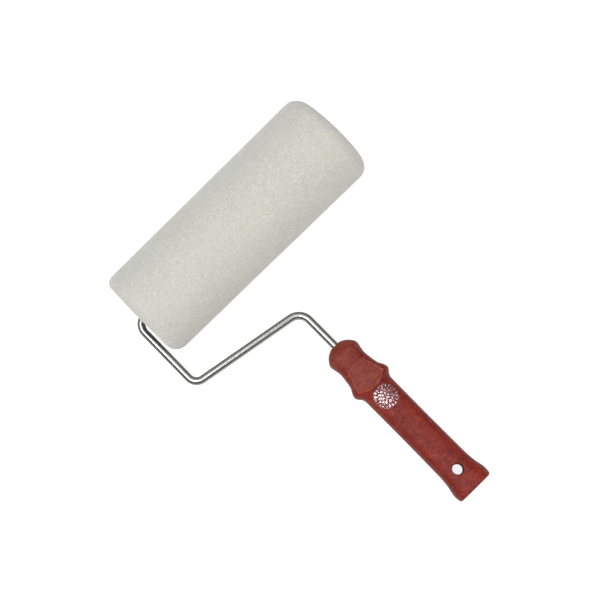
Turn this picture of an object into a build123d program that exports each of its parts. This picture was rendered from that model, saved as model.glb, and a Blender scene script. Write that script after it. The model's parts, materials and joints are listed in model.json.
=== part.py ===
from build123d import *

import math
import os

# Paint roller. A soft round sleeve spins on a bent steel rod, and the rod's tail is driven into a
# moulded handle. Everything is modelled first in the tool frame, in millimetres: the sleeve's
# axis is X with its middle at the origin, the rod lies in the XY plane and the handle points
# along -Y. The finished tool is then laid down on the ground, Z up, resting on the sleeve and
# on the flared end of the handle, with the middle of its footprint at the origin.

# Sleeve
SLEEVE_LENGTH = 200.0
SLEEVE_RADIUS = 39.0
COVER_END_ROUND = 9.0        # round on the soft cover's two outer rims
CORE_OUTER_RADIUS = 24.0
CORE_INNER_RADIUS = 22.0
CORE_SETBACK = 3.0           # the core stops this far inside each end of the cover

# End caps, measured along X inwards from the sleeve's end plane
CAP_RIM_FACE = 1.5
CAP_RIM_RADIUS = 23.4
CAP_RECESS_RADIUS = 20.0
CAP_SPIGOT_END = 22.0
CAP_WEB_FACE = 10.5
CAP_WEB_THICKNESS = 2.5
CAP_HUB_END = 30.0
CAP_HUB_RADIUS = 6.8
CAP_RIB_COUNT = 6
CAP_RIB_THICKNESS = 1.6
CAP_RIB_END = 21.0
CAP_RIB_BITE = 0.5           # how far each rib runs into the hub and into the spigot
EDGE_BREAK = 0.4             # small chamfer on the moulded edges that show

# Plain bearings, washers and push nuts, on the same inward scale
BUSH_RADIUS = 4.8
BUSH_FLANGE_RADIUS = 6.2
BUSH_FLANGE_THICKNESS = 1.5
BUSH_END = 29.0
BUSH_CLEARANCE = 0.06        # running clearance round the rod, on the radius
WASHER_GAP = 0.3             # end float between the washer and the bush
WASHER_THICKNESS = 1.0
WASHER_RADIUS = 6.2
WASHER_BORE_RADIUS = 3.2
NUT_RADIUS = 7.0
NUT_RING_INNER_RADIUS = 4.4
NUT_SHEET = 0.6
NUT_CONE_RISE = 1.2
NUT_SLOT_WIDTH = 0.9
NUT_SLOT_REACH = 5.0
NUT_TONGUE_COUNT = 6

# Dust cap that closes the free end
DUST_CAP_SKIRT_END = 5.6
DUST_CAP_WALL = 1.4
DUST_CAP_FACE_THICKNESS = 1.3
DUST_CAP_DISH_RADIUS = 13.0
DUST_CAP_DISH_DEPTH = 0.5

# Rod
ROD_RADIUS = 3.0
ROD_FREE_END_SETBACK = 4.0   # from the sleeve's end plane to the rod's free end
ROD_END_CHAMFER = 0.5
SIDE_ARM_GAP = 4.7           # from the sleeve's end plane to the side arm's centreline
SIDE_ARM_LENGTH = 63.4
CROSS_ARM_DROP = 16.0        # how much further from the sleeve the cross arm ends than it starts
SLEEVE_BEND = 10.0
OUTER_BEND = 8.0
HANDLE_BEND = 11.0
ROD_TAIL = 76.0              # length of rod inside the handle
FIN_SPAN = 9.4               # flattened fins that key the rod in the plastic
FIN_THICKNESS = 1.6
FIN_LENGTH = 12.0
FIN_AT = 56.0

# Handle, with distances measured down the handle from its crown
HANDLE_X = -11.5
HANDLE_TOP = 115.7           # from the sleeve's axis to the crown
HANDLE_LENGTH = 145.7
CORNER_SHARE = 0.75          # corner radius of a section as a share of its half thickness
CROWN = (0.0, 5.5, 5.2)      # each station: distance, half width, half thickness
SHOULDER = (8.0, 13.2, 11.6)
NECK = (18.0, 12.0, 10.9)
THROAT = (28.5, 13.3, 11.5)
RIDGE = (37.3, 16.4, 12.9)
RIDGE_FOOT = (41.0, 14.1, 11.8)
GRIP_START = (43.5, 12.7, 11.3)
GRIP_END = (118.0, 12.7, 11.3)
FLARE_START = (130.0, 13.5, 11.7)
FLARE = (140.0, 15.2, 12.6)
END_ROUND = 2.0
CROWN_ROUND = 0.8
HANG_HOLE_RADIUS = 4.0
HANG_HOLE_AT = 126.7
SOCKET_RADIUS = 9.5          # blind socket for an extension pole
SOCKET_DEPTH = 55.0
SOCKET_CHAMFER = 1.0

# Round foil emblem on the face of the grip
EMBLEM_AT = 53.0
EMBLEM_RADIUS = 9.3
EMBLEM_THICKNESS = 0.15

HALF_SLEEVE = SLEEVE_LENGTH / 2
BUSH_FACE = CAP_WEB_FACE - BUSH_FLANGE_THICKNESS
WASHER_FACE = BUSH_FACE - WASHER_GAP - WASHER_THICKNESS
CUT_THROUGH = 60.0           # longer than anything that is cut right through a part


def turned(*corners):
    """A solid of revolution about X from its (x, radius) corners."""
    return revolve(make_face(Polyline(*corners, close=True)), Axis.X)


def tube(start, end, inner, outer):
    return turned((start, inner), (end, inner), (end, outer), (start, outer))


def around_axis(shape, count):
    """Copies of a shape spread evenly about X."""
    return [Rot(360 / count * i, 0, 0) * shape for i in range(count)]


# The sleeve's two ends share one set of parts, drawn with x running inwards from the end plane.
INBOARD = Pos(-HALF_SLEEVE, 0, 0)
OUTBOARD = Pos(HALF_SLEEVE, 0, 0) * Rot(0, 0, 180)


def nap_cover():
    wall = SLEEVE_RADIUS - CORE_OUTER_RADIUS
    profile = Pos(0, CORE_OUTER_RADIUS + wall / 2) * Rectangle(SLEEVE_LENGTH, wall)
    outer_corners = profile.vertices().group_by(Axis.Y)[-1]
    return revolve(fillet(outer_corners, COVER_END_ROUND), Axis.X)


def core_tube():
    half_core = HALF_SLEEVE - CORE_SETBACK
    return tube(-half_core, half_core, CORE_INNER_RADIUS, CORE_OUTER_RADIUS)


def end_cap():
    web_back = CAP_WEB_FACE + CAP_WEB_THICKNESS
    body = turned(
        (CAP_WEB_FACE, BUSH_RADIUS),
        (CAP_WEB_FACE, CAP_RECESS_RADIUS),
        (CAP_RIM_FACE + EDGE_BREAK, CAP_RECESS_RADIUS),
        (CAP_RIM_FACE, CAP_RECESS_RADIUS + EDGE_BREAK),
        (CAP_RIM_FACE, CAP_RIM_RADIUS - EDGE_BREAK),
        (CAP_RIM_FACE + EDGE_BREAK, CAP_RIM_RADIUS),
        (CORE_SETBACK, CAP_RIM_RADIUS),
        (CORE_SETBACK, CORE_INNER_RADIUS),
        (CAP_SPIGOT_END - EDGE_BREAK, CORE_INNER_RADIUS),
        (CAP_SPIGOT_END, CORE_INNER_RADIUS - EDGE_BREAK),
        (CAP_SPIGOT_END, CAP_RECESS_RADIUS),
        (web_back, CAP_RECESS_RADIUS),
        (web_back, CAP_HUB_RADIUS),
        (CAP_HUB_END, CAP_HUB_RADIUS),
        (CAP_HUB_END, BUSH_RADIUS),
    )
    rib_length = CAP_RIB_END - web_back
    inner_edge = CAP_HUB_RADIUS - CAP_RIB_BITE
    outer_edge = CAP_RECESS_RADIUS + CAP_RIB_BITE
    rib = Pos(web_back + rib_length / 2, (inner_edge + outer_edge) / 2, 0) * Box(
        rib_length, outer_edge - inner_edge, CAP_RIB_THICKNESS
    )
    return body + around_axis(rib, CAP_RIB_COUNT)


def bush():
    bore = ROD_RADIUS + BUSH_CLEARANCE
    return turned(
        (BUSH_FACE, bore),
        (BUSH_END, bore),
        (BUSH_END, BUSH_RADIUS),
        (CAP_WEB_FACE, BUSH_RADIUS),
        (CAP_WEB_FACE, BUSH_FLANGE_RADIUS),
        (BUSH_FACE, BUSH_FLANGE_RADIUS),
    )


def thrust_washer():
    return tube(WASHER_FACE, WASHER_FACE + WASHER_THICKNESS, WASHER_BORE_RADIUS, WASHER_RADIUS)


def push_nut():
    """A sprung sheet washer whose cone of tongues bites the rod. The cone rises outwards."""
    back = WASHER_FACE
    front = back - NUT_SHEET
    lip = front - NUT_CONE_RISE
    dished = turned(
        (back, NUT_RADIUS),
        (back, NUT_RING_INNER_RADIUS),
        (lip + NUT_SHEET, ROD_RADIUS),
        (lip, ROD_RADIUS),
        (front, NUT_RING_INNER_RADIUS),
        (front, NUT_RADIUS),
    )
    slot = Pos(front, NUT_SLOT_REACH / 2, 0) * Box(CUT_THROUGH, NUT_SLOT_REACH, NUT_SLOT_WIDTH)
    return dished - around_axis(slot, NUT_TONGUE_COUNT)


def dust_cap():
    face_back = CAP_RIM_FACE + DUST_CAP_FACE_THICKNESS
    dish_floor = CAP_RIM_FACE + DUST_CAP_DISH_DEPTH
    skirt_inner = CAP_RECESS_RADIUS - DUST_CAP_WALL
    return turned(
        (dish_floor, 0),
        (dish_floor, DUST_CAP_DISH_RADIUS - DUST_CAP_DISH_DEPTH),
        (CAP_RIM_FACE, DUST_CAP_DISH_RADIUS),
        (CAP_RIM_FACE, CAP_RECESS_RADIUS - EDGE_BREAK),
        (CAP_RIM_FACE + EDGE_BREAK, CAP_RECESS_RADIUS),
        (DUST_CAP_SKIRT_END, CAP_RECESS_RADIUS),
        (DUST_CAP_SKIRT_END, skirt_inner),
        (face_back, skirt_inner),
        (face_back, 0),
    )


def frame_rod():
    side_x = -(HALF_SLEEVE + SIDE_ARM_GAP)
    free_end_x = HALF_SLEEVE - ROD_FREE_END_SETBACK
    path = FilletPolyline(
        (free_end_x, 0),
        (side_x, 0),
        (side_x, -SIDE_ARM_LENGTH),
        (HANDLE_X, -(SIDE_ARM_LENGTH + CROSS_ARM_DROP)),
        (HANDLE_X, -(HANDLE_TOP + ROD_TAIL)),
        radius=[SLEEVE_BEND, OUTER_BEND, HANDLE_BEND],
    )
    section = Plane(origin=(free_end_x, 0, 0), z_dir=(-1, 0, 0)) * Circle(ROD_RADIUS)
    rod = sweep(section, path=path)
    end_faces = rod.faces().filter_by(GeomType.PLANE)
    rod = chamfer([edge for face in end_faces for edge in face.edges()], ROD_END_CHAMFER)
    fin = Pos(HANDLE_X, -(HANDLE_TOP + FIN_AT), 0) * Box(FIN_SPAN, FIN_LENGTH, FIN_THICKNESS)
    return rod + chamfer(fin.edges().filter_by(Axis.Z), ROD_RADIUS / 2)


def handle_plane(distance):
    """The plane across the handle at this distance from its crown."""
    return Plane(
        origin=(HANDLE_X, -(HANDLE_TOP + distance), 0), x_dir=(1, 0, 0), z_dir=(0, -1, 0)
    )


def grip_section(station, grow=0.0):
    distance, half_width, half_thickness = station
    return handle_plane(distance) * RectangleRounded(
        2 * (half_width + grow),
        2 * (half_thickness + grow),
        CORNER_SHARE * half_thickness + grow,
    )


def through_sections(*stations, ruled=False):
    return loft([grip_section(station) for station in stations], ruled=ruled)


def handle_body():
    crown = through_sections(CROWN, SHOULDER, ruled=True)
    neck = through_sections(SHOULDER, NECK, THROAT, RIDGE)
    below_ridge = through_sections(RIDGE, RIDGE_FOOT, GRIP_START)
    grip = through_sections(GRIP_START, GRIP_END, ruled=True)
    flare = through_sections(GRIP_END, FLARE_START, FLARE)
    foot = extrude(grip_section(FLARE), HANDLE_LENGTH - FLARE[0])
    body = crown + neck + below_ridge + grip + flare + foot
    body = fillet(body.faces().sort_by(Axis.Y)[0].edges(), END_ROUND)
    return fillet(body.faces().sort_by(Axis.Y)[-1].edges(), CROWN_ROUND)


def handle_grip(rod):
    mouth = handle_plane(HANDLE_LENGTH)
    socket = mouth * Pos(0, 0, -SOCKET_DEPTH / 2) * Cylinder(SOCKET_RADIUS, SOCKET_DEPTH)
    lead_in = mouth * Pos(0, 0, -SOCKET_CHAMFER / 2) * Cone(
        SOCKET_RADIUS, SOCKET_RADIUS + SOCKET_CHAMFER, SOCKET_CHAMFER
    )
    hang_hole = Pos(HANDLE_X, -(HANDLE_TOP + HANG_HOLE_AT), 0) * Cylinder(
        HANG_HOLE_RADIUS, CUT_THROUGH
    )
    return handle_body() - rod - socket - lead_in - hang_hole


def emblem_foil():
    """A round foil patch that follows the front of the grip."""
    length = 2 * EMBLEM_RADIUS
    start = (EMBLEM_AT - EMBLEM_RADIUS,) + GRIP_START[1:]
    skin = extrude(grip_section(start, EMBLEM_THICKNESS) - grip_section(start), length)
    patch = Pos(HANDLE_X, -(HANDLE_TOP + EMBLEM_AT), CUT_THROUGH / 2) * Cylinder(
        EMBLEM_RADIUS, CUT_THROUGH
    )
    return skin & patch


def tool_parts():
    """Every part in the tool frame, by node name."""
    rod = frame_rod()
    return {
        "frame_rod": rod,
        "handle_grip": handle_grip(rod),
        "emblem_foil": emblem_foil(),
        "push_nut_inboard": INBOARD * push_nut(),
        "push_nut_outboard": OUTBOARD * push_nut(),
        "thrust_washer_inboard": INBOARD * thrust_washer(),
        "thrust_washer_outboard": OUTBOARD * thrust_washer(),
        "nap_cover": nap_cover(),
        "core_tube": core_tube(),
        "end_cap_inboard": INBOARD * end_cap(),
        "end_cap_outboard": OUTBOARD * end_cap(),
        "bush_inboard": INBOARD * bush(),
        "bush_outboard": OUTBOARD * bush(),
        "dust_cap": OUTBOARD * dust_cap(),
    }


def lean_angle():
    """How far the tool leans about the sleeve's axis until the handle's foot meets the ground."""
    reach = HANDLE_TOP + HANDLE_LENGTH - END_ROUND
    foot = FLARE[2]
    drop = math.asin(SLEEVE_RADIUS / math.hypot(reach, foot))
    return math.degrees(drop - math.atan2(foot, reach))


def resting_place(parts):
    """The move from the tool frame to the ground frame."""
    lean = Rot(lean_angle(), 0, 0)
    boxes = [(lean * part).bounding_box() for part in parts.values()]
    middle_x = (min(box.min.X for box in boxes) + max(box.max.X for box in boxes)) / 2
    middle_y = (min(box.min.Y for box in boxes) + max(box.max.Y for box in boxes)) / 2
    return Pos(-middle_x, -middle_y, SLEEVE_RADIUS) * lean


def main():
    os.makedirs("parts", exist_ok=True)
    parts = tool_parts()
    place = resting_place(parts)
    for name, shape in parts.items():
        export_step(place * shape, f"parts/{name}.step")


main()
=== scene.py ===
import json
import math

import bmesh
import bpy
import numpy as np
from mathutils import Matrix, Vector


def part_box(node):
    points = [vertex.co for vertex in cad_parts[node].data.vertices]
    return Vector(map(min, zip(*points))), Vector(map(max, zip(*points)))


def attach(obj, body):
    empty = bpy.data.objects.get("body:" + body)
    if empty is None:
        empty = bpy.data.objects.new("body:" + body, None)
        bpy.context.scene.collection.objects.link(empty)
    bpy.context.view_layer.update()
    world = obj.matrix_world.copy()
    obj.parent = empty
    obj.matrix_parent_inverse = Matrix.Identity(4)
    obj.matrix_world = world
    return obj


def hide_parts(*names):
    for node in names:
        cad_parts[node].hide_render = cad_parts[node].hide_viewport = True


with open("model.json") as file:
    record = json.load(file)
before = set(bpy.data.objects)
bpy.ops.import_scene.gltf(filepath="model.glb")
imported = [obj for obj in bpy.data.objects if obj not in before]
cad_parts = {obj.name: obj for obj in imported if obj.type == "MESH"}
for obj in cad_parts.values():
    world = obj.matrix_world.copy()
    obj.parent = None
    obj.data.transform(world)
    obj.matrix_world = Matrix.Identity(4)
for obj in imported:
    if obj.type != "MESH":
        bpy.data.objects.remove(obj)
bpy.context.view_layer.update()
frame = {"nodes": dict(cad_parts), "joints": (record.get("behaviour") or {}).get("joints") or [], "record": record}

# A paint roller lying on its back. Lengths are in metres in the row's frame, except in the
# sections that say millimetres.

MM = 0.001


def mount(name):
    return next(m for m in frame["record"]["mounts"] if m["name"] == name)


def size_of(node):
    low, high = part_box(node)
    return high - low


# The sleeve turns about X. The handle has its own frame: across, down from its crown, and out
# through its front.
SLEEVE_CENTRE = np.array(frame["joints"][0]["pos_m"])
SLEEVE_LENGTH = size_of("nap_cover").x
SLEEVE_RADIUS = size_of("nap_cover").z / 2
CORE_RADIUS = size_of("core_tube").z / 2
HANDLE_LENGTH = 145.7 * MM
HANG_HOLE_AT = 126.7 * MM
HANG_HOLE_RADIUS = mount("hang_hole")["dims"]["r_mm"] * MM
SOCKET_RADIUS = mount("pole_socket")["dims"]["r_mm"] * MM
SOCKET_LENGTH = mount("pole_socket")["dims"]["length_mm"] * MM
ACROSS = np.array((1.0, 0.0, 0.0))
DOWN = np.array(mount("pole_socket")["axis"])
OUT = np.array(mount("hang_hole")["axis"])
CROWN = np.array(mount("hang_hole")["pos_m"]) - HANG_HOLE_AT * DOWN


def on_handle(across, down, out):
    """Row-frame points from handle coordinates in millimetres, given as arrays of one shape."""
    local = np.stack([across, down, out], axis=-1) * MM
    return CROWN + local @ np.stack([ACROSS, DOWN, OUT])


# Mesh helpers

def mesh_object(name, points, faces):
    """An object from points of any array shape, with its faces turned outwards."""
    mesh = bpy.data.meshes.new(name)
    mesh.from_pydata(np.asarray(points).reshape(-1, 3).tolist(), [], faces)
    mesh.validate()
    work = bmesh.new()
    work.from_mesh(mesh)
    bmesh.ops.recalc_face_normals(work, faces=work.faces)
    work.to_mesh(mesh)
    work.free()
    piece = bpy.data.objects.new(name, mesh)
    bpy.context.scene.collection.objects.link(piece)
    return piece


def ring_faces(ring_count, around, closed=False):
    """Quads between successive rings, and from the last ring to the first when closed."""
    faces = []
    for ring in range(ring_count if closed else ring_count - 1):
        here = ring * around
        there = (ring + 1) % ring_count * around
        for step in range(around):
            after = (step + 1) % around
            faces.append((here + step, here + after, there + after, there + step))
    return faces


def capped_faces(ring_count, around):
    """The faces of successive rings, with one more face over the first ring and over the last."""
    last = (ring_count - 1) * around
    caps = [tuple(range(around))[::-1], tuple(range(last, last + around))]
    return ring_faces(ring_count, around) + caps


def shade_smooth(piece, sharp_angle=40.0):
    piece.data.shade_smooth()
    piece.data.set_sharp_from_angle(angle=math.radians(sharp_angle))


def mark_points(piece, name, values):
    """A value from 0 to 1 at each point, for the piece's material to read."""
    marks = piece.data.attributes.new(name, "FLOAT", "POINT")
    marks.data.foreach_set("value", values.ravel().astype(np.float32))


def smooth_step(value):
    share = np.clip(value, 0.0, 1.0)
    return share * share * (3 - 2 * share)


def smooth_curve(stations):
    """A curve through (place, value) stations that never overshoots them."""
    place, value = np.array(stations, float).T
    rise = np.diff(value) / np.diff(place)
    product = rise[:-1] * rise[1:]
    total = np.where(product > 0, rise[:-1] + rise[1:], 1.0)
    slope = np.zeros(len(place))
    slope[1:-1] = np.where(product > 0, 2 * product / total, 0.0)
    slope[0], slope[-1] = rise[0], rise[-1]

    def curve(at):
        start = np.clip(np.searchsorted(place, at, side="right") - 1, 0, len(place) - 2)
        width = place[start + 1] - place[start]
        t = np.clip((at - place[start]) / width, 0.0, 1.0)
        return (
            value[start] * (1 + 2 * t) * (1 - t) ** 2
            + slope[start] * width * t * (1 - t) ** 2
            + value[start + 1] * t * t * (3 - 2 * t)
            - slope[start + 1] * width * t * t * (1 - t)
        )

    return curve


# Materials. Colours are linear (r, g, b).

MIX_COLOUR_INPUTS = (0, 6, 7)      # a mix node's share and its two colours
MIX_COLOUR_OUTPUT = 2


class Finish:
    """A procedural material: one principled shader, and short calls for the nodes that feed it."""

    def __init__(self, name, **constants):
        self.material = bpy.data.materials.new(name)
        self.material.use_nodes = True
        self.tree = self.material.node_tree
        self.shader = self.tree.nodes["Principled BSDF"]
        for socket, value in constants.items():
            self.shader.inputs[socket.replace("_", " ")].default_value = value
        self.place = self.node("ShaderNodeTexCoord").outputs["Object"]

    def node(self, kind, links=None, **settings):
        made = self.tree.nodes.new(kind)
        for key, value in settings.items():
            setattr(made, key, value)
        for socket, value in (links or {}).items():
            if isinstance(value, bpy.types.NodeSocket):
                self.tree.links.new(value, made.inputs[socket])
            else:
                made.inputs[socket].default_value = value
        return made

    def noise(self, scale, detail=2.0, roughness=0.5, stretch=(1, 1, 1)):
        """Noise with features about 1/scale metres across."""
        place = self.node("ShaderNodeMapping", {"Vector": self.place, "Scale": stretch})
        links = {"Vector": place.outputs[0], "Scale": scale, "Detail": detail, "Roughness": roughness}
        return self.node("ShaderNodeTexNoise", links).outputs["Fac"]

    def attribute(self, name):
        return self.node("ShaderNodeAttribute", attribute_name=name).outputs["Fac"]

    def spread(self, value, band, onto=(0.0, 1.0)):
        """value over its band, from low to high, spread onto another band and held beyond it."""
        links = {
            "Value": value, "From Min": band[0], "From Max": band[1], "To Min": onto[0], "To Max": onto[1]
        }
        return self.node("ShaderNodeMapRange", links).outputs["Result"]

    def product(self, first, second):
        made = self.node("ShaderNodeMath", {0: first, 1: second}, operation="MULTIPLY")
        return made.outputs[0]

    def blend(self, share, first, second):
        """first where share is 0 and second where it is 1. Colours are (r, g, b) or a socket."""
        made = self.node("ShaderNodeMix", data_type="RGBA")
        factor, *colours = (made.inputs[index] for index in MIX_COLOUR_INPUTS)
        self.feed(factor, share)
        for socket, colour in zip(colours, (first, second)):
            self.feed(socket, colour)
        return made.outputs[MIX_COLOUR_OUTPUT]

    def layered(self, colour, *layers):
        """colour under layers: (a value, its band, the layer's share at both ends of it, colour)."""
        for value, band, share, over in layers:
            colour = self.blend(self.spread(value, band, share), colour, over)
        return colour

    def feed(self, socket, value):
        """Links a socket to another one, or sets it to a number or a colour."""
        if isinstance(value, bpy.types.NodeSocket):
            self.tree.links.new(value, socket)
        elif isinstance(value, tuple):
            socket.default_value = (*value, 1.0)
        else:
            socket.default_value = value

    def colour(self, value):
        self.feed(self.shader.inputs["Base Color"], value)

    def roughness(self, value):
        self.feed(self.shader.inputs["Roughness"], value)

    def relief(self, *layers):
        """Bump from (height socket, depth in metres) layers."""
        normal = None
        for height, depth in layers:
            links = {"Height": height, "Distance": depth, "Strength": 1.0}
            if normal is not None:
                links["Normal"] = normal
            normal = self.node("ShaderNodeBump", links).outputs["Normal"]
        self.tree.links.new(normal, self.shader.inputs["Normal"])


BROAD = (0.3, 0.7)            # the parts of a noise's range that a change is spread over
MIDDLING = (0.35, 0.7)
NARROW = (0.35, 0.65)

# Pile colours. The gap, hollow and root colours are painted shade for the low places of the pile.
PILE_SHADE = (0.43, 0.428, 0.395)
PILE_LIGHT = (0.635, 0.632, 0.595)
PILE_GAP_SHADE = (0.40, 0.398, 0.365)
PILE_TIP = (0.69, 0.687, 0.65)
PILE_HOLLOW_SHADE = (0.44, 0.435, 0.39)
PILE_CREAM = (0.53, 0.515, 0.44)
PILE_COOL = (0.50, 0.515, 0.505)
PILE_ROOT_SHADE = (0.37, 0.365, 0.325)


def nap_finish():
    """Off-white short pile: fibre speckle, clumps of tips, faint patches, and painted shade in the gaps between
    clumps, in the hollows of the tufts and at the tufts' roots.
    """
    made = Finish("nap", Sheen_Weight=0.35, Sheen_Roughness=0.6, Specular_IOR_Level=0.1)
    fibres = made.noise(2200, detail=2, roughness=0.7)
    clumps = made.noise(820, detail=3, roughness=0.7)
    tufts = made.noise(290, detail=2, roughness=0.6)
    made.colour(made.layered(
        made.blend(made.spread(fibres, BROAD), PILE_SHADE, PILE_LIGHT),
        # painted shade: darker where the clumps and the tufts sink in the relief
        (clumps, (0.36, 0.6), (0.75, 0.0), PILE_GAP_SHADE),
        (clumps, (0.5, 0.7), (0.0, 0.5), PILE_TIP),
        (tufts, (0.4, 0.62), (0.4, 0.0), PILE_HOLLOW_SHADE),
        (made.noise(24), (0.42, 0.62), (0.0, 0.2), PILE_CREAM),
        (made.noise(31), (0.45, 0.62), (0.0, 0.2), PILE_COOL),
        # painted shade: darker where the tufts dip to their roots
        (made.attribute("pile"), (0.0, 0.6), (0.3, 0.0), PILE_ROOT_SHADE),
    ))
    made.roughness(made.spread(fibres, BROAD, (0.85, 0.98)))
    made.relief((tufts, 0.5 * MM), (clumps, 0.3 * MM), (fibres, 0.15 * MM))
    return made.material


RESIN_DARK = (0.116, 0.0075, 0.0055)
RESIN_RED = (0.188, 0.014, 0.0085)
RESIN_BLOTCH = (0.225, 0.028, 0.014)
RESIN_SPECKLE = (0.285, 0.047, 0.024)
RESIN_FLECK = (0.11, 0.010, 0.009)
PANEL_DARK = (0.145, 0.026, 0.017)
PANEL_BROWN = (0.228, 0.045, 0.029)
# painted highlight, along the panel's raised rim
RIM_HIGHLIGHT = (0.40, 0.105, 0.060)
# painted shade, on the hang hole's wall
BORE_SHADE = (0.012, 0.004, 0.003)


def grip_finish():
    """Brick red moulded plastic, mottled by the resin's flow, with a spark-eroded grain, a painted highlight along
    the thumb panel's rim and painted shade on the hang hole's wall.
    """
    made = Finish("grip_plastic", Specular_IOR_Level=0.2)
    flow = made.noise(70, detail=4, roughness=0.6, stretch=(1.0, 0.6, 1.0))
    blotch = made.noise(210, detail=3, roughness=0.6)
    speckle = made.noise(620, detail=3, roughness=0.7)
    grain = made.noise(2300, detail=2, roughness=0.6)
    resin = made.layered(
        made.blend(made.spread(flow, (0.36, 0.64)), RESIN_DARK, RESIN_RED),
        (blotch, (0.5, 0.68), (0.0, 0.6), RESIN_BLOTCH),
        (speckle, (0.5, 0.72), (0.0, 0.7), RESIN_SPECKLE),
        (speckle, (0.3, 0.5), (0.7, 0.0), RESIN_FLECK),
    )
    brown = made.blend(made.spread(speckle, (0.4, 0.62)), PANEL_DARK, PANEL_BROWN)
    panel = made.product(made.attribute("panel"), made.spread(blotch, (0.3, 0.6), (0.45, 0.95)))
    # painted highlight: the panel's raised rim is coloured lighter, in patches
    rim = made.product(made.attribute("rim"), made.spread(blotch, (0.4, 0.6), (0.15, 0.95)))
    skin = made.blend(rim, made.blend(panel, resin, brown), RIM_HIGHLIGHT)
    # painted shade: the hang hole's wall is coloured near black
    made.colour(made.blend(made.attribute("bore"), skin, BORE_SHADE))
    made.roughness(made.spread(grain, BROAD, (0.45, 0.65)))
    made.relief((speckle, 0.08 * MM), (grain, 0.04 * MM))
    return made.material


ZINC_DARK = (0.27, 0.27, 0.265)
ZINC_LIGHT = (0.36, 0.36, 0.355)
ZINC_EDGE = (0.25, 0.25, 0.25, 1.0)   # tints the reflections at a glancing angle


def wire_finish():
    """Bright zinc on drawn wire."""
    made = Finish("zinc_wire", Metallic=1.0, Specular_Tint=ZINC_EDGE)
    waver = made.noise(160, detail=2)
    drawn = made.noise(1400, detail=3, roughness=0.6)
    made.colour(made.blend(made.spread(drawn, MIDDLING), ZINC_DARK, ZINC_LIGHT))
    made.roughness(made.spread(drawn, BROAD, (0.12, 0.26)))
    made.relief((waver, 0.05 * MM), (drawn, 0.006 * MM))
    return made.material


PHOSPHATE = (0.20, 0.20, 0.21)
RUBBED_STEEL = (0.46, 0.46, 0.47)


def spring_steel_finish():
    """Dark phosphated spring steel with rubbed high spots."""
    made = Finish("spring_steel", Metallic=1.0)
    film = made.noise(1100, detail=4, roughness=0.65)
    made.colour(made.blend(made.spread(film, (0.4, 0.66)), PHOSPHATE, RUBBED_STEEL))
    made.roughness(made.spread(film, BROAD, (0.42, 0.26)))
    made.relief((film, 0.02 * MM))
    return made.material


PLATING_DARK = (0.60, 0.61, 0.62)
PLATING_LIGHT = (0.76, 0.77, 0.78)


def washer_finish():
    """Zinc plated steel with faint marks from the punch."""
    made = Finish("washer_steel", Metallic=1.0)
    plating = made.noise(1600, detail=3, stretch=(8, 1, 1))
    made.colour(made.blend(made.spread(plating, MIDDLING), PLATING_DARK, PLATING_LIGHT))
    made.roughness(made.spread(plating, BROAD, (0.24, 0.38)))
    made.relief((plating, 0.01 * MM))
    return made.material


CAP_DARK = (0.33, 0.33, 0.325)
CAP_LIGHT = (0.41, 0.41, 0.40)


def cap_finish():
    """Pale grey moulded plastic with a fine matt texture and faint flow marks."""
    made = Finish("cap_plastic", Specular_IOR_Level=0.5)
    flow = made.noise(60, detail=3)
    grain = made.noise(2100, detail=2)
    made.colour(made.blend(made.spread(flow, NARROW), CAP_DARK, CAP_LIGHT))
    made.roughness(made.spread(grain, BROAD, (0.38, 0.55)))
    made.relief((grain, 0.025 * MM))
    return made.material


CORE_DARK = (0.44, 0.42, 0.36)
CORE_LIGHT = (0.54, 0.52, 0.46)


def core_finish():
    """Extruded tube with faint marks along its length."""
    made = Finish("core_plastic")
    marks = made.noise(900, detail=3, stretch=(0.04, 1, 1))
    made.colour(made.blend(made.spread(marks, NARROW), CORE_DARK, CORE_LIGHT))
    made.roughness(made.spread(marks, BROAD, (0.45, 0.6)))
    made.relief((marks, 0.03 * MM))
    return made.material


ACETAL_DARK = (0.78, 0.77, 0.72)
ACETAL_LIGHT = (0.86, 0.855, 0.82)


def bush_finish():
    """Turned natural acetal, which lets a little light in."""
    made = Finish("acetal", Subsurface_Weight=0.05)
    turned = made.noise(1500, detail=2, stretch=(4, 1, 1))
    made.colour(made.blend(made.spread(turned, BROAD), ACETAL_DARK, ACETAL_LIGHT))
    made.roughness(made.spread(turned, BROAD, (0.2, 0.32)))
    made.relief((turned, 0.01 * MM))
    return made.material


FOIL_TARNISH = (0.07, 0.042, 0.055)
FOIL_SILVER = (0.66, 0.58, 0.61)
FOIL_PINHOLE = (0.20, 0.03, 0.025)


def foil_finish():
    """Hot-stamped silver foil that has picked up the grain under it, with pinholes."""
    made = Finish("silver_foil")
    crinkle = made.noise(1500, detail=3, roughness=0.65)
    tarnish = made.spread(made.noise(700, detail=3, roughness=0.7), (0.45, 0.6))
    pinholes = made.spread(made.noise(1500), (0.56, 0.62))
    silver = made.blend(tarnish, FOIL_TARNISH, FOIL_SILVER)
    made.colour(made.blend(pinholes, silver, FOIL_PINHOLE))
    made.feed(made.shader.inputs["Metallic"], made.spread(pinholes, (0.0, 1.0), (1.0, 0.0)))
    made.roughness(made.spread(crinkle, BROAD, (0.2, 0.45)))
    made.relief((crinkle, 0.12 * MM))
    return made.material


FLOOR_GLOW = 0.85   # the floor is a light table, which keeps shadows soft and pale
FLOOR_DARK = (0.29, 0.29, 0.29)
FLOOR_LIGHT = (0.31, 0.31, 0.31)
WHITE = (1.0, 1.0, 1.0)


def floor_finish():
    """A pale translucent sheet, lit from below."""
    made = Finish("floor", Specular_IOR_Level=0.1, Emission_Strength=FLOOR_GLOW)
    made.feed(made.shader.inputs["Emission Color"], WHITE)
    paper = made.noise(300, detail=3)
    made.colour(made.blend(paper, FLOOR_DARK, FLOOR_LIGHT))
    made.roughness(made.spread(paper, BROAD, (0.85, 0.95)))
    return made.material


# Sleeve

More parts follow.
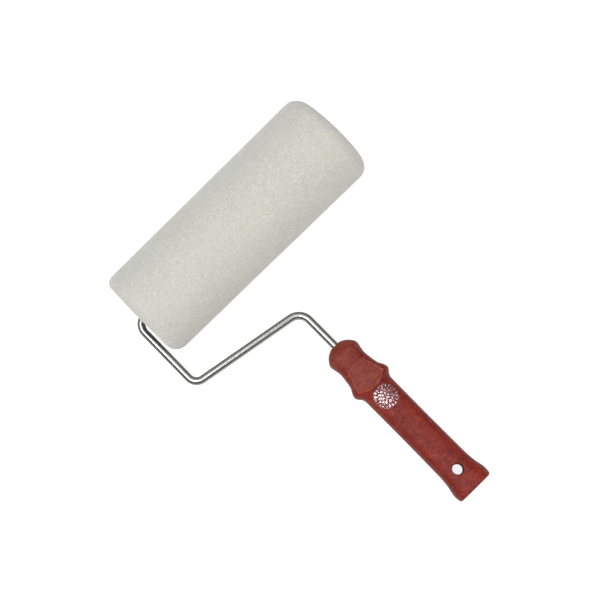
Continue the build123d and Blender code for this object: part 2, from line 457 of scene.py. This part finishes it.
NAP_RINGS = 300
NAP_AROUND = 318
NAP_SHOULDER = 11.0 * MM     # how far the round on each outer rim reaches
CRISP_SHOULDER = 7.0 * MM    # and how far at the top of the frame's end, where the pile is cut crisper
NAP_MOUTH = 3.0 * MM         # the softer round where the pile turns in to the core
NAP_ROOT = 2.0 * MM          # the pile rises to its full height over this much at the core
TUFT_PITCH = 2.1 * MM
TUFT_HEIGHT = 0.22 * MM
TUFT_REACH = 1.1             # in pitches
TUFT_SCATTER = (0.15, 0.85)  # where a tuft may stand in its cell, in pitches
TUFT_HEIGHTS = (0.5, 1.0)    # as shares of the full height
TUFT_SEED = 7
SPARE_ROWS = 3               # of tufts past the outline's two ends, one of them before its start
WAVER_HEIGHT = 0.3 * MM
WAVER_COUNT = 9
WAVER_ALONG = (10, 90)       # radians per metre along the outline
WAVER_AROUND = (0, 9)        # whole waves round the sleeve, short of the second
WAVER_SEED = 11
OUTLINE_STEPS = 40           # points on each round of the outline
NAP_THINNING = 1.4 * MM      # the pile is this much shorter at the frame's end than at the free end
FREE_END_SKEW = 1.2 * MM     # the free end was trimmed this far out of square


def sleeve_outline(shoulder):
    """(x from the middle, radius) along the cover's outline, from the core at one end to the other."""
    half = SLEEVE_LENGTH / 2
    turn = np.linspace(0, math.pi / 2, OUTLINE_STEPS)
    mouth_x = half - NAP_MOUTH + NAP_MOUTH * np.sin(turn)
    mouth_r = CORE_RADIUS + NAP_MOUTH - NAP_MOUTH * np.cos(turn)
    shoulder_x = half - shoulder + shoulder * np.cos(turn)
    shoulder_r = SLEEVE_RADIUS - shoulder + shoulder * np.sin(turn)
    side = np.stack([np.append(mouth_x, shoulder_x), np.append(mouth_r, shoulder_r)], axis=1)
    path = np.vstack([side * (-1, 1), side[::-1]])
    travelled = np.append(0.0, np.cumsum(np.linalg.norm(np.diff(path, axis=0), axis=1)))
    along = np.linspace(0, travelled[-1], NAP_RINGS)
    return along, np.interp(along, travelled, path[:, 0]), np.interp(along, travelled, path[:, 1])


def tufts(along, turn):
    """Height from 0 to 1 of small rounded tufts, for every ring and every step round it."""
    columns = round(2 * math.pi * SLEEVE_RADIUS / TUFT_PITCH)
    rows = int(along[-1] / TUFT_PITCH) + SPARE_ROWS
    chance = np.random.default_rng(TUFT_SEED)
    middle = chance.uniform(*TUFT_SCATTER, (rows, columns, 2))
    height = chance.uniform(*TUFT_HEIGHTS, (rows, columns))
    u = (along / TUFT_PITCH + 1)[:, None]
    v = (turn / (2 * math.pi) * columns)[None, :]
    tallest = np.zeros((len(along), len(turn)))
    for row_step in (-1, 0, 1):
        for column_step in (-1, 0, 1):
            row = np.floor(u).astype(int) + row_step
            column = np.floor(v).astype(int) + column_step
            cell = (row, column % columns)
            away = np.hypot(u - row - middle[(*cell, 0)], v - column - middle[(*cell, 1)])
            tallest = np.maximum(tallest, height[cell] * (1 - (away / TUFT_REACH) ** 2))
    return np.clip(tallest, 0.0, 1.0)


def waver(along, turn):
    """Slow unevenness of the pile, from -1 to 1."""
    chance = np.random.default_rng(WAVER_SEED)
    total = np.zeros((len(along), len(turn)))
    for _ in range(WAVER_COUNT):
        waves_along = chance.uniform(*WAVER_ALONG)
        waves_around = chance.integers(*WAVER_AROUND)
        phase = chance.uniform(0, 2 * math.pi)
        total += np.sin(waves_along * along[:, None] + waves_around * turn[None, :] + phase)
    return total / WAVER_COUNT


def pile_dip(along, pile, turn):
    """How far the surface lies under the plain outline, for every ring and every step round it."""
    standing = smooth_step(along / NAP_ROOT) * smooth_step((along[-1] - along) / NAP_ROOT)
    dip = TUFT_HEIGHT * (1 - pile) + WAVER_HEIGHT * (0.5 - 0.5 * waver(along, turn))
    return dip * standing[:, None]


def cut_ends(x, radius, turn):
    """The outline turned round the sleeve, with its frame end crisper at the top."""
    crisp_x, crisp_radius = sleeve_outline(CRISP_SHOULDER)[1:]
    crisp = smooth_step(-2 * x[:, None] / SLEEVE_LENGTH) * (0.5 + 0.5 * np.cos(turn))
    return (
        x[:, None] + crisp * (crisp_x - x)[:, None],
        radius[:, None] + crisp * (crisp_radius - radius)[:, None],
    )


def nap_points(along, x, radius, pile, turn):
    """Places on the pile, for every ring and every step round it."""
    tangent = np.stack([np.gradient(x), np.gradient(radius)], axis=1)
    tangent /= np.linalg.norm(tangent, axis=1, keepdims=True)
    dip = pile_dip(along, pile, turn)
    share = x[:, None] / SLEEVE_LENGTH
    x, radius = cut_ends(x, radius, turn)
    depth = (radius - CORE_RADIUS) / (SLEEVE_RADIUS - CORE_RADIUS)
    thinning = NAP_THINNING * (0.5 - share) * depth
    skew = FREE_END_SKEW * smooth_step(share * 2) * (radius / SLEEVE_RADIUS) * np.cos(turn)
    x = x + dip * tangent[:, 1, None] - skew
    radius = radius - dip * tangent[:, 0, None] - thinning
    return SLEEVE_CENTRE + np.stack([x, radius * np.cos(turn), radius * np.sin(turn)], axis=-1)


def make_nap():
    along, x, radius = sleeve_outline(NAP_SHOULDER)
    turn = np.linspace(0, 2 * math.pi, NAP_AROUND, endpoint=False)
    pile = tufts(along, turn)
    points = nap_points(along, x, radius, pile, turn)
    nap = mesh_object("nap", points, ring_faces(NAP_RINGS, NAP_AROUND, closed=True))
    # the tufts' heights, which the nap's material reads to paint shade at their roots
    mark_points(nap, "pile", pile)
    shade_smooth(nap)
    nap.data.materials.append(nap_finish())
    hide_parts("nap_cover")
    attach(nap, "roller")


# Handle. This section is in millimetres, in the handle's own frame.

GRIP_LENGTH = HANDLE_LENGTH / MM
HALF_WIDTHS = (               # (down from the crown, half the width)
    (0.0, 5.0), (2.2, 8.7), (5.5, 11.85), (8.8, 13.4), (18.0, 12.0), (24.0, 12.6), (30.0, 13.7),
    (35.3, 16.3), (37.5, 16.75), (39.7, 15.9), (42.0, 14.0), (45.2, 12.85), (80.0, 12.7),
    (122.0, 13.0), (130.0, 13.65), (140.0, 15.35), (145.7, 14.9),
)
HALF_DEPTHS = (
    (0.0, 4.8), (2.6, 7.6), (5.2, 9.7), (8.9, 11.5), (18.0, 10.9), (30.0, 11.5), (37.5, 12.7),
    (41.0, 11.3), (115.0, 11.3), (130.0, 11.7), (140.0, 12.6), (145.7, 12.5),
)
SECTION_POWER = 2.8           # 2 is an ellipse, and more is squarer
GRIP_AROUND = 176
GRIP_STEP = 0.5
FIRST_RING = 0.3              # how far down the skin's first ring is
FOOT_ROUND = 2.0
FOOT_ROUND_RINGS = 7
FOOT_FACE_RINGS = 6
SOCKET_CHAMFER = 1.0
SOCKET_WALL_RINGS = 24
CROWN_RINGS = (               # (share of the crown's radius, how far down)
    (0.50, 1.0), (0.56, 0.35), (0.63, 0.08), (0.72, 0.0), (0.88, 0.0), (0.95, 0.06),
)
COLLAR_SAG = 4.8              # how far the collar dips towards the grip on the broad faces
COLLAR_CREST = 37.5
SAG_START = 20.0              # the dip comes in over SAG_RISE from here
SAG_RISE = 14.0
SAG_END = 56.0                # and is gone here, over SAG_FALL
SAG_FALL = 11.0
PANEL_TOP = 18.5
PANEL_TOP_HALF = 7.6
PANEL_TOP_BOW = 0.035         # the top edge falls away to the sides by this times the across squared
PANEL_FOOT_HALF = 12.4
PANEL_FOOT_GAP = 0.4          # from the panel's foot to the collar's crest
PANEL_FLARE = 1.3             # 1 is a straight side, and more flares towards the foot
PANEL_DEPTH = 0.4
PANEL_EDGE = 1.1
PANEL_RIM = 0.28
PANEL_RIM_WIDTH = 0.4
FACE_START = 5.0              # detail is moulded on the broad faces, from this far out
FACE_FADE = 2.0
RIM_START = 21.0              # the panel's rim comes in over RIM_FADE from here
RIM_FADE = 6.0
PARTING_LINE = 0.14           # height of the mould's parting line, down both sides
PARTING_WIDTH = 0.35
CROWN_TINT = 0.75             # the crown has this much of the panel's brown
CROWN_TINT_END = 20.0         # and it is gone here, over CROWN_TINT_FADE
CROWN_TINT_FADE = 9.0

half_width = smooth_curve(HALF_WIDTHS)
half_depth = smooth_curve(HALF_DEPTHS)


def section_radius(turn, width, depth):
    """Distance from the handle's axis to a superellipse, in the direction turn."""
    across = np.abs(np.cos(turn)) / width
    out = np.abs(np.sin(turn)) / depth
    return (across**SECTION_POWER + out**SECTION_POWER) ** (-1 / SECTION_POWER)


def collar_sag(share, down):
    """How far the handle's outline is shifted down at this share of its half width."""
    near = smooth_step((down - SAG_START) / SAG_RISE) * smooth_step((SAG_END - down) / SAG_FALL)
    return COLLAR_SAG * np.clip(1 - share**2, 0, 1) * near


def skin_radius(turn, down):
    width = half_width(down)
    level = section_radius(turn, width, half_depth(down))
    share = np.abs(level * np.cos(turn)) / width
    return section_radius(turn, width, half_depth(down - collar_sag(share, down)))


def skin_height(across, down):
    """How far out the front of the handle is at a place on it."""
    width = half_width(down)
    share = np.abs(across) / width
    depth = half_depth(down - collar_sag(share, down))
    return depth * np.clip(1 - share**SECTION_POWER, 0, 1) ** (1 / SECTION_POWER)


def panel_inset(across, down):
    """How far a place is inside the thumb panel's edge, and less than 0 outside it."""
    share = np.clip((down - PANEL_TOP) / (COLLAR_CREST - PANEL_TOP), 0, 1)
    edge = PANEL_TOP_HALF + (PANEL_FOOT_HALF - PANEL_TOP_HALF) * share**PANEL_FLARE
    top = PANEL_TOP + PANEL_TOP_BOW * across**2
    sag = COLLAR_SAG * np.clip(1 - (across / PANEL_FOOT_HALF) ** 2, 0, 1)
    foot = COLLAR_CREST + sag - PANEL_FOOT_GAP
    return np.minimum(np.minimum(edge - np.abs(across), down - top), foot - down)


def grip_rings():
    """(radius, distance down) of every ring, from the wire's hole over the crown to the socket's floor."""
    turn = np.linspace(0, 2 * math.pi, GRIP_AROUND, endpoint=False)
    crown = skin_radius(turn, np.zeros(GRIP_AROUND))
    rings = [(crown * share, down) for share, down in CROWN_RINGS]
    foot_start = GRIP_LENGTH - FOOT_ROUND
    for down in np.linspace(FIRST_RING, foot_start, round(foot_start / GRIP_STEP)):
        rings.append((skin_radius(turn, np.full(GRIP_AROUND, down)), down))
    last = rings[-1][0]
    for angle in np.linspace(0, math.pi / 2, FOOT_ROUND_RINGS + 1)[1:]:
        inset = FOOT_ROUND * (1 - math.cos(angle))
        rings.append((last - inset, foot_start + FOOT_ROUND * math.sin(angle)))
    socket = SOCKET_RADIUS / MM
    mouth = np.full(GRIP_AROUND, socket + SOCKET_CHAMFER)
    for share in np.linspace(0, 1, FOOT_FACE_RINGS + 1)[1:]:
        rings.append(((last - FOOT_ROUND) * (1 - share) + mouth * share, GRIP_LENGTH))
    for down in np.linspace(GRIP_LENGTH - SOCKET_CHAMFER, socket_floor(), SOCKET_WALL_RINGS):
        rings.append((np.full(GRIP_AROUND, socket), down))
    radius = np.array([ring[0] for ring in rings])
    down = np.repeat(np.array([ring[1] for ring in rings])[:, None], GRIP_AROUND, axis=1)
    return turn, radius, down


def socket_floor():
    return GRIP_LENGTH - SOCKET_CHAMFER - SOCKET_LENGTH / MM


def grip_relief(across, down, out, on_skin):
    """Height of the moulded detail over the plain skin, and where it has a panel or a rim that gets a painted
    highlight.
    """
    inset = panel_inset(across, down)
    face = smooth_step((np.abs(out) - FACE_START) / FACE_FADE) * on_skin
    panel = smooth_step(inset / PANEL_EDGE)
    rim = np.exp(-((inset / PANEL_RIM_WIDTH) ** 2)) * smooth_step((down - RIM_START) / RIM_FADE)
    seam = PARTING_LINE * np.exp(-((out / PARTING_WIDTH) ** 2)) * on_skin
    relief = (PANEL_RIM * rim - PANEL_DEPTH * panel) * face + seam
    crown = CROWN_TINT * smooth_step((CROWN_TINT_END - down) / CROWN_TINT_FADE)
    return relief, np.maximum(panel * face, crown), rim * face


def outward_normals(points):
    """Unit normals of rings of (across, down, out) points, away from the handle's axis."""
    along_step = np.gradient(points, axis=0)
    around_step = np.roll(points, -1, axis=1) - np.roll(points, 1, axis=1)
    normal = np.cross(along_step, around_step)
    normal /= np.linalg.norm(normal, axis=2, keepdims=True)
    away = normal[..., 0] * points[..., 0] + normal[..., 2] * points[..., 2]
    return normal * np.sign(away.sum(axis=1))[:, None, None]


def make_grip():
    turn, radius, down = grip_rings()
    across, out = radius * np.cos(turn), radius * np.sin(turn)
    points = np.stack([across, down, out], axis=-1)
    foot = len(radius) - SOCKET_WALL_RINGS - FOOT_FACE_RINGS - FOOT_ROUND_RINGS
    on_skin = np.zeros_like(radius)
    on_skin[len(CROWN_RINGS) + 1:foot] = 1.0
    relief, panel, rim = grip_relief(across, down, out, on_skin)
    points = points + outward_normals(points) * relief[..., None]
    placed = on_handle(points[..., 0], points[..., 1], points[..., 2])
    grip = mesh_object("grip", placed, capped_faces(len(radius), GRIP_AROUND))
    mark_points(grip, "panel", panel)
    # where the grip's material paints a highlight along the rim
    mark_points(grip, "rim", rim)
    cut_hang_hole(grip)
    mark_bore(grip)
    shade_smooth(grip, GRIP_CREASE)
    grip.data.materials.append(grip_finish())
    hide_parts("handle_grip")
    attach(grip, "frame")


HOLE_AROUND = 72
HOLE_CHAMFER = 0.55
DRILL_REACH = 2.0             # how far the drill's two flared ends stand out past the skin
GRIP_CREASE = 32.0            # degrees, from which an edge of the handle is sharp


def cut_hang_hole(grip):
    """Drills the hang hole with a small chamfer at both faces."""
    skin = float(skin_height(np.zeros(1), np.full(1, HANG_HOLE_AT / MM))[0])
    radius = HANG_HOLE_RADIUS / MM
    edge = skin - HOLE_CHAMFER
    end = skin + DRILL_REACH
    flared = radius + HOLE_CHAMFER + DRILL_REACH
    outline = ((-end, flared), (-edge, radius), (edge, radius), (end, flared))
    turn = np.linspace(0, 2 * math.pi, HOLE_AROUND, endpoint=False)
    rings = []
    for out, wide in outline:
        across, down = wide * np.cos(turn), HANG_HOLE_AT / MM + wide * np.sin(turn)
        rings.append(on_handle(across, down, np.full(HOLE_AROUND, out)))
    drill = mesh_object("drill", np.array(rings), capped_faces(len(outline), HOLE_AROUND))
    cut = grip.modifiers.new("hang_hole", "BOOLEAN")
    cut.object = drill
    cut.operation = "DIFFERENCE"
    cut.solver = "EXACT"
    apply_modifiers(grip)
    bpy.data.objects.remove(drill)


def mark_bore(grip):
    """Marks the hang hole's wall, which the grip's material paints near black as the shade inside the hole."""
    place = np.array([point.co for point in grip.data.vertices]) - CROWN
    away = np.hypot(place @ ACROSS, place @ DOWN - HANG_HOLE_AT)
    mark_points(grip, "bore", away < HANG_HOLE_RADIUS + HOLE_CHAMFER / 2 * MM)


def apply_modifiers(piece):
    bpy.context.view_layer.update()
    evaluated = piece.evaluated_get(bpy.context.evaluated_depsgraph_get())
    mesh = bpy.data.meshes.new_from_object(evaluated)
    piece.modifiers.clear()
    piece.data = mesh


# Emblem: a plain rosette of stamped foil leaves, in millimetres on the handle's front

FOIL_TOP = 0.12               # height over the handle's skin
FOIL_ROOT = -0.06
LEAF_STEPS = 14
LEAF_FULLNESS = 0.8           # 1 is an arc, and less is fuller towards the leaf's two points
FOIL_CREASE = 30.0            # degrees
LEAF_RINGS = (                # (leaves, radius at their middle, length, width, turn in leaves)
    (1, 0.0, 1.9, 1.7, 0.0),
    (6, 2.2, 1.9, 1.5, 0.0),
    (10, 4.5, 2.6, 1.9, 0.5),
    (10, 5.9, 1.5, 0.8, 0.0),
    (20, 7.8, 2.5, 1.5, 0.25),
    (20, 8.9, 0.9, 0.6, 0.75),
)


def foil_leaf(middle_radius, length, width, angle):
    """Corners of one pointed leaf that lies along a radius."""
    sweep = np.linspace(-1, 1, LEAF_STEPS, endpoint=False)
    bulge = width / 2 * (1 - sweep**2) ** LEAF_FULLNESS
    along = middle_radius + np.append(sweep, -sweep) * length / 2
    side = np.append(-bulge, bulge)
    cos, sin = math.cos(angle), math.sin(angle)
    return np.stack([along * cos - side * sin, along * sin + side * cos], axis=1)


def foil_leaves():
    for count, radius, length, width, offset in LEAF_RINGS:
        for leaf in range(count):
            yield foil_leaf(radius, length, width, 2 * math.pi * (leaf + offset) / count)


def make_emblem():
    low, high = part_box("emblem_foil")
    middle = float((np.array((low + high) / 2) - CROWN) @ DOWN) / MM
    leaves = list(foil_leaves())
    flat = np.concatenate(leaves)
    corners = len(leaves[0])
    faces = [tuple(range(leaf * corners, (leaf + 1) * corners)) for leaf in range(len(leaves))]
    down = middle + flat[:, 1]
    skin = skin_height(flat[:, 0], down)
    emblem = mesh_object("emblem", on_handle(flat[:, 0], down, skin + FOIL_TOP), faces)
    thick = emblem.modifiers.new("foil", "SOLIDIFY")
    thick.thickness = (FOIL_TOP - FOIL_ROOT) * MM
    thick.offset = -1.0   # inwards
    apply_modifiers(emblem)
    shade_smooth(emblem, FOIL_CREASE)
    emblem.data.materials.append(foil_finish())
    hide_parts("emblem_foil")
    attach(emblem, "frame")


def finish_nodes():
    """Gives the CAD nodes that keep their own shape a finish each."""
    finishes = {
        wire_finish: ("frame_rod",),
        spring_steel_finish: ("push_nut_inboard", "push_nut_outboard"),
        washer_finish: ("thrust_washer_inboard", "thrust_washer_outboard"),
        cap_finish: ("end_cap_inboard", "end_cap_outboard", "dust_cap"),
        core_finish: ("core_tube",),
        bush_finish: ("bush_inboard", "bush_outboard"),
    }
    for finish, nodes in finishes.items():
        material = finish()
        for name in nodes:
            node = frame["nodes"][name]
            node.data.materials.clear()
            node.data.materials.append(material)


# Floor, light and camera

CAMERA_TARGET = Vector((-2.15, 38.7, 30.0)) * MM
CAMERA_BACK = Vector((-0.0435, -0.2180, 0.9750)).normalized()   # from the target to the camera
CAMERA_UP = Vector((0.6953, 0.7187, 0.0))
CAMERA_DISTANCE = 1.46
VIEW_WIDTH = 0.4433
SENSOR_WIDTH = 36.0
SKY_HEIGHTS = (0.5, 0.85)     # the sky brightens from the first height to the second: 0 is level, 1 overhead
SKY_STRENGTHS = (0.02, 1.3)
FLOOR_HALF = 4.0
SOFTBOXES = (                 # (name, place, width, height, watts, colour)
    ("overhead", (-0.62, -0.05, 2.3), 0.7, 0.9, 24, WHITE),
    ("key", (-0.9, 0.7, 1.5), 0.9, 0.9, 5, WHITE),
    ("fill", (0.3, -1.3, 1.0), 0.7, 0.7, 6, (1.0, 0.94, 0.80)),
)


def add_floor():
    corners = ((-1, -1), (1, -1), (1, 1), (-1, 1))
    points = [(x * FLOOR_HALF, y * FLOOR_HALF, 0) for x, y in corners]
    floor = mesh_object("floor", points, [(0, 1, 2, 3)])
    floor.data.materials.append(floor_finish())


def add_softbox(name, place, width, height, watts, colour):
    light = bpy.data.lights.new(name, "AREA")
    light.shape = "RECTANGLE"
    light.size = width
    light.size_y = height
    light.energy = watts
    light.color = colour
    lamp = bpy.data.objects.new(name, light)
    lamp.location = place
    lamp.rotation_euler = (-Vector(place)).to_track_quat("-Z", "Y").to_euler()
    bpy.context.scene.collection.objects.link(lamp)


def add_sky():
    """White light from overhead over a dark horizon, which the camera sees as a white backdrop."""
    world = bpy.data.worlds.new("studio")
    world.use_nodes = True
    tree = world.node_tree
    place = tree.nodes.new("ShaderNodeTexCoord")
    split = tree.nodes.new("ShaderNodeSeparateXYZ")
    fade = tree.nodes.new("ShaderNodeMapRange")
    fade.interpolation_type = "SMOOTHSTEP"
    for socket, value in zip(("From Min", "From Max", "To Min", "To Max"), SKY_HEIGHTS + SKY_STRENGTHS):
        fade.inputs[socket].default_value = value
    tree.links.new(place.outputs["Generated"], split.inputs[0])
    tree.links.new(split.outputs["Z"], fade.inputs["Value"])
    sky = tree.nodes["Background"]
    sky.inputs["Color"].default_value = (*WHITE, 1.0)
    tree.links.new(fade.outputs["Result"], sky.inputs["Strength"])
    backdrop = tree.nodes.new("ShaderNodeBackground")
    backdrop.inputs["Color"].default_value = (*WHITE, 1.0)
    seen = tree.nodes.new("ShaderNodeMixShader")
    tree.links.new(tree.nodes.new("ShaderNodeLightPath").outputs["Is Camera Ray"], seen.inputs[0])
    tree.links.new(sky.outputs[0], seen.inputs[1])
    tree.links.new(backdrop.outputs[0], seen.inputs[2])
    tree.links.new(seen.outputs[0], tree.nodes["World Output"].inputs["Surface"])
    bpy.context.scene.world = world


def add_camera():
    data = bpy.data.cameras.new("camera")
    data.sensor_width = SENSOR_WIDTH
    data.lens = data.sensor_width * CAMERA_DISTANCE / VIEW_WIDTH
    camera = bpy.data.objects.new("camera", data)
    bpy.context.scene.collection.objects.link(camera)
    camera.location = CAMERA_TARGET + CAMERA_BACK * CAMERA_DISTANCE
    right = CAMERA_UP.cross(CAMERA_BACK).normalized()
    up = CAMERA_BACK.cross(right)
    camera.rotation_mode = "QUATERNION"
    camera.rotation_quaternion = Matrix((right, up, CAMERA_BACK)).transposed().to_quaternion()
    bpy.context.scene.camera = camera


def set_scene():
    add_floor()
    add_sky()
    for softbox in SOFTBOXES:
        add_softbox(*softbox)
    bpy.context.scene.view_settings.view_transform = "Standard"
    add_camera()


set_scene()
make_nap()
make_grip()
make_emblem()
finish_nodes()
